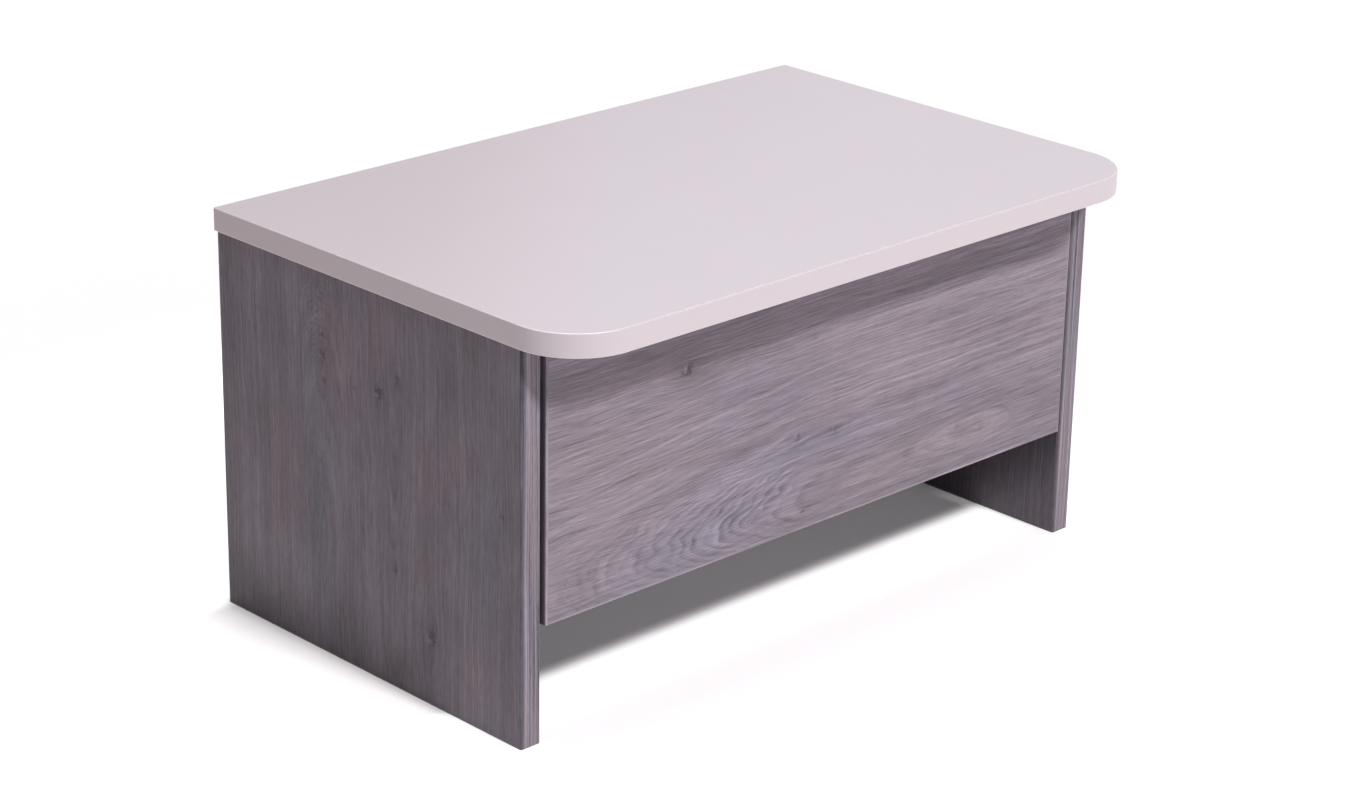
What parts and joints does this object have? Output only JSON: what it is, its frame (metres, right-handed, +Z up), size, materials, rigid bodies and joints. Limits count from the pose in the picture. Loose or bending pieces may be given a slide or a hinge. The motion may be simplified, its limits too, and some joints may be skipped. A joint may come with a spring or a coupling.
{
  "type": "nightstand",
  "caption": "Low nightstand with a pale round-cornered top over a grey oak case and one wide handleless drawer on ball slides.",
  "frame": {"origin": "on the floor, under the middle of the top's outline", "axes": "+Z up, +X to the right seen from the front, -Y out of the front where the drawer opens"},
  "size_m": [0.6, 0.388, 0.318],
  "materials": {
    "top_laminate": "smooth satin melamine, pale cashmere",
    "top_edge": "satin edge band, pale cashmere",
    "oak_laminate": "grey oak print with upright grain and a pressed pore texture",
    "oak_front_laminate": "grey oak print with level grain and a pressed pore texture",
    "oak_edge": "grey oak edge band",
    "white_board": "matt light melamine of the drawer box",
    "hardboard": "thin lacquered fibreboard",
    "beech": "fluted beech dowel",
    "zinc_alloy": "bare die-cast zinc",
    "zinc_steel": "bright zinc-plated sheet steel",
    "screw_steel": "zinc-plated",
    "ball_steel": "polished",
    "cage_steel": "dull pressed steel"
  },
  "bodies": {
    "case": {"top_panel": "top_laminate", "top_edge_band": "top_edge", "top_back_edge_band": "top_edge", "left_side_panel": "oak_laminate", "right_side_panel": "oak_laminate", "left_front_edge_band": "oak_edge", "right_front_edge_band": "oak_edge", "left_back_edge_band": "oak_edge", "right_back_edge_band": "oak_edge", "left_bottom_edge_band": "oak_edge", "right_bottom_edge_band": "oak_edge", "bottom_panel": "oak_laminate", "bottom_front_edge_band": "oak_edge", "back_panel": "hardboard", "top_dowels": "beech", "top_cam_bolts": "screw_steel", "top_cams": "zinc_alloy", "bottom_dowels": "beech", "bottom_cam_bolts": "screw_steel", "bottom_cams": "zinc_alloy", "back_panel_screws": "screw_steel", "left_cabinet_rail": "zinc_steel", "right_cabinet_rail": "zinc_steel", "cabinet_rail_screws": "screw_steel"},
    "drawer": {"drawer_front": "oak_front_laminate", "drawer_front_left_band": "oak_edge", "drawer_front_right_band": "oak_edge", "drawer_front_lower_band": "oak_edge", "drawer_front_upper_band": "oak_edge", "drawer_left_side": "white_board", "drawer_right_side": "white_board", "drawer_back": "white_board", "drawer_floor": "hardboard", "drawer_left_side_band": "white_board", "drawer_right_side_band": "white_board", "drawer_back_band": "white_board", "drawer_front_dowels": "beech", "drawer_front_cam_bolts": "screw_steel", "drawer_front_cams": "zinc_alloy", "drawer_back_screws": "screw_steel", "drawer_floor_screws": "screw_steel", "left_drawer_rail": "zinc_steel", "right_drawer_rail": "zinc_steel", "drawer_rail_screws": "screw_steel"},
    "left_middle": {"left_middle_rail": "zinc_steel"},
    "left_outer_cage": {"left_outer_ball_cage": "cage_steel", "left_outer_balls": "ball_steel"},
    "left_inner_cage": {"left_inner_ball_cage": "cage_steel", "left_inner_balls": "ball_steel"},
    "right_middle": {"right_middle_rail": "zinc_steel"},
    "right_outer_cage": {"right_outer_ball_cage": "cage_steel", "right_outer_balls": "ball_steel"},
    "right_inner_cage": {"right_inner_ball_cage": "cage_steel", "right_inner_balls": "ball_steel"}
  },
  "joints": [
    {"name": "drawer_slide", "type": "slide", "parent": "case", "child": "drawer", "axis": [0, -1, 0], "range_m": [0, 0.3]},
    {"name": "left_middle_slide", "type": "slide", "parent": "case", "child": "left_middle", "axis": [0, -1, 0], "range_m": [0, 0.15]},
    {"name": "left_outer_cage_slide", "type": "slide", "parent": "case", "child": "left_outer_cage", "axis": [0, -1, 0], "range_m": [0, 0.075]},
    {"name": "left_inner_cage_slide", "type": "slide", "parent": "case", "child": "left_inner_cage", "axis": [0, -1, 0], "range_m": [0, 0.225]},
    {"name": "right_middle_slide", "type": "slide", "parent": "case", "child": "right_middle", "axis": [0, -1, 0], "range_m": [0, 0.15]},
    {"name": "right_outer_cage_slide", "type": "slide", "parent": "case", "child": "right_outer_cage", "axis": [0, -1, 0], "range_m": [0, 0.075]},
    {"name": "right_inner_cage_slide", "type": "slide", "parent": "case", "child": "right_inner_cage", "axis": [0, -1, 0], "range_m": [0, 0.225]}
  ],
  "couplings": [
    {"joint": "left_middle_slide", "follows": "drawer_slide", "ratio": 0.5},
    {"joint": "left_outer_cage_slide", "follows": "drawer_slide", "ratio": 0.25},
    {"joint": "left_inner_cage_slide", "follows": "drawer_slide", "ratio": 0.75},
    {"joint": "right_middle_slide", "follows": "drawer_slide", "ratio": 0.5},
    {"joint": "right_outer_cage_slide", "follows": "drawer_slide", "ratio": 0.25},
    {"joint": "right_inner_cage_slide", "follows": "drawer_slide", "ratio": 0.75}
  ]
}
